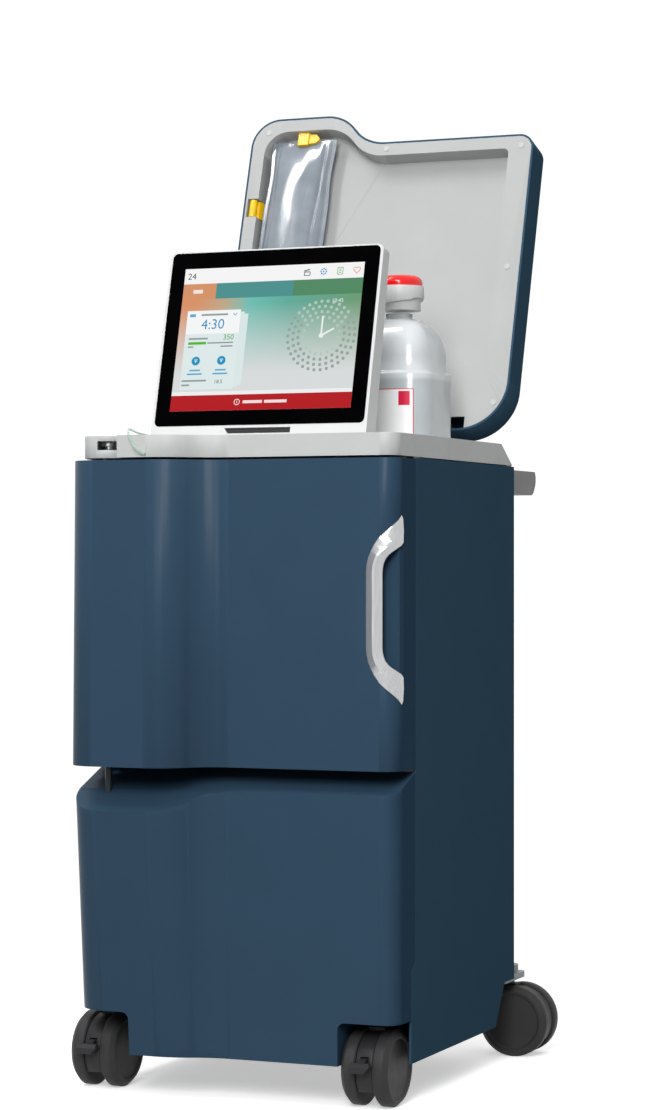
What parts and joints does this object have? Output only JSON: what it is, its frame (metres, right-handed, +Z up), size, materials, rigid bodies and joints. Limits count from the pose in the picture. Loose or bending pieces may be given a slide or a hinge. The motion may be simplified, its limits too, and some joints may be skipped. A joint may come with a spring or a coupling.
{
  "type": "dialysis machine",
  "caption": "Compact home dialysis console on casters with an open lid, tilting touch screen, bottle well, fluid bag in the lid, hinged front door and pump bay.",
  "frame": {"origin": "on the floor, at the middle of the bounding box's footprint", "axes": "+X to the machine's right as seen from the front, +Y to the back, +Z up"},
  "size_m": [0.514, 0.6462, 1.3146],
  "materials": {
    "bag_film": "clear film filled with liquid",
    "black_glass": "polished",
    "black_plastic": "satin moulding",
    "board_green": "solder resist",
    "bottle_clear": "translucent moulding",
    "cap_red": "glossy moulding",
    "caster_plastic": "satin moulding",
    "chrome_pin": "polished",
    "collar_grey": "satin moulding",
    "fibre_white": "clear barrel over pale fibres",
    "frame_steel": "powder coat",
    "handle_metal": "brushed",
    "hook_yellow": "glossy moulding",
    "mid_grey": "satin moulding",
    "navy": "satin painted panel",
    "navy_side": "satin painted panel",
    "pale_grey": "fine satin moulding",
    "roller_white": "satin moulding",
    "screen_lit": "lit display",
    "seal_rubber": "matte",
    "tube_clear": "clear soft tube",
    "wheel_rubber": "matte"
  },
  "bodies": {
    "console": {"chassis_base": "frame_steel", "cabinet_frame": "frame_steel", "side_panel_left": "navy_side", "side_panel_right": "navy_side", "rear_panel": "navy_side", "mains_inlet": "black_plastic", "water_inlet": "collar_grey", "drain_outlet": "collar_grey", "lower_cover": "navy", "deck": "pale_grey", "bottle_well": "pale_grey", "door_hinge_pins": "chrome_pin", "bay_liner": "pale_grey", "door_seal": "seal_rubber", "pump_panel": "pale_grey", "pump_raceways": "mid_grey", "dialyzer": "fibre_white", "dialyzer_clips": "mid_grey", "drip_chambers": "fibre_white", "power_supply": "frame_steel", "control_board": "board_green", "water_filters": "roller_white", "dialysate_pump": "mid_grey", "cooling_fan": "black_plastic", "lid_hinge_brackets": "pale_grey", "tablet_hinge_posts": "mid_grey", "front_caster_hoods": "caster_plastic", "rear_outriggers": "frame_steel", "push_handle": "mid_grey", "saline_line": "tube_clear"},
    "door": {"door_skin": "navy", "door_liner": "pale_grey", "grip_cup": "navy", "door_handle": "handle_metal"},
    "lid": {"lid_shell": "navy", "lid_liner": "pale_grey", "lid_knuckles": "frame_steel", "lid_screws": "mid_grey", "bag_hook": "hook_yellow", "saline_bag": "bag_film"},
    "bag_clip": {"bag_clip": "hook_yellow"},
    "tablet": {"tablet_housing": "pale_grey", "tablet_glass": "black_glass", "tablet_screen": "screen_lit"},
    "bottle": {"bottle_body": "bottle_clear", "bottle_collar": "collar_grey", "bottle_cap": "cap_red"},
    "power_switch": {"power_switch": "black_plastic"},
    "blood_pump_rotor": {"blood_pump_rotor": "roller_white"},
    "infusion_pump_rotor": {"infusion_pump_rotor": "roller_white"},
    "arterial_clamp": {"arterial_clamp": "mid_grey"},
    "venous_clamp": {"venous_clamp": "mid_grey"},
    "front_right_wheels": {"front_right_wheels": "wheel_rubber"},
    "front_left_wheels": {"front_left_wheels": "wheel_rubber"},
    "front_right_pedal": {"front_right_pedal": "caster_plastic"},
    "front_left_pedal": {"front_left_pedal": "caster_plastic"},
    "rear_right_swivel": {"rear_right_swivel": "caster_plastic"},
    "rear_left_swivel": {"rear_left_swivel": "caster_plastic"},
    "rear_right_wheels": {"rear_right_wheels": "wheel_rubber"},
    "rear_left_wheels": {"rear_left_wheels": "wheel_rubber"}
  },
  "joints": [
    {"name": "door_hinge", "type": "hinge", "parent": "console", "child": "door", "pos_m": [-0.174, -0.27281, 0.803], "axis": [0, 0, -1], "range_deg": [0, 110]},
    {"name": "lid_hinge", "type": "hinge", "parent": "console", "child": "lid", "pos_m": [0, 0.15619, 0.858], "axis": [-1, 0, 0], "range_deg": [-50, 0]},
    {"name": "tablet_tilt", "type": "hinge", "parent": "console", "child": "tablet", "pos_m": [0, -0.18238, 0.84111], "axis": [1, 0, 0], "range_deg": [-12, 12]},
    {"name": "bottle_lift", "type": "slide", "parent": "console", "child": "bottle", "axis": [0, 0, 1], "range_m": [0, 0.15]},
    {"name": "bag_clip_hinge", "type": "hinge", "parent": "lid", "child": "bag_clip", "pos_m": [-0.203, 0.2395, 1.18179], "axis": [0, -0.2924, -0.9563], "range_deg": [0, 6.5]},
    {"name": "mains_switch_rocker", "type": "hinge", "parent": "console", "child": "power_switch", "pos_m": [0.15, 0.17019, 0.22], "axis": [1, 0, 0], "range_deg": [0, 10]},
    {"name": "blood_pump_spin", "type": "hinge", "parent": "console", "child": "blood_pump_rotor", "pos_m": [-0.07, -0.15781, 0.64], "axis": [0, 1, 0], "continuous": true},
    {"name": "infusion_pump_spin", "type": "hinge", "parent": "console", "child": "infusion_pump_rotor", "pos_m": [0.07, -0.15781, 0.73], "axis": [0, 1, 0], "continuous": true},
    {"name": "arterial_clamp_slide", "type": "slide", "parent": "console", "child": "arterial_clamp", "axis": [0, 1, 0], "range_m": [0, 0.004]},
    {"name": "venous_clamp_slide", "type": "slide", "parent": "console", "child": "venous_clamp", "axis": [0, 1, 0], "range_m": [0, 0.004]},
    {"name": "front_right_wheel_spin", "type": "hinge", "parent": "console", "child": "front_right_wheels", "pos_m": [0.172, -0.21981, 0.048], "axis": [1, 0, 0], "continuous": true},
    {"name": "front_right_brake", "type": "hinge", "parent": "console", "child": "front_right_pedal", "pos_m": [0.172, -0.25081, 0.061], "axis": [1, 0, 0], "range_deg": [0, 10]},
    {"name": "front_left_wheel_spin", "type": "hinge", "parent": "console", "child": "front_left_wheels", "pos_m": [-0.202, -0.21981, 0.048], "axis": [1, 0, 0], "continuous": true},
    {"name": "front_left_brake", "type": "hinge", "parent": "console", "child": "front_left_pedal", "pos_m": [-0.202, -0.25081, 0.061], "axis": [1, 0, 0], "range_deg": [0, 10]},
    {"name": "rear_right_swivel_turn", "type": "hinge", "parent": "console", "child": "rear_right_swivel", "pos_m": [0.189, 0.21319, 0.104], "axis": [0, 0, 1], "continuous": true},
    {"name": "rear_right_wheel_spin", "type": "hinge", "parent": "rear_right_swivel", "child": "rear_right_wheels", "pos_m": [0.209, 0.21319, 0.048], "axis": [0, 1, 0], "continuous": true},
    {"name": "rear_left_swivel_turn", "type": "hinge", "parent": "console", "child": "rear_left_swivel", "pos_m": [-0.189, 0.21319, 0.104], "axis": [0, 0, 1], "continuous": true},
    {"name": "rear_left_wheel_spin", "type": "hinge", "parent": "rear_left_swivel", "child": "rear_left_wheels", "pos_m": [-0.209, 0.21319, 0.048], "axis": [0, 1, 0], "continuous": true}
  ]
}
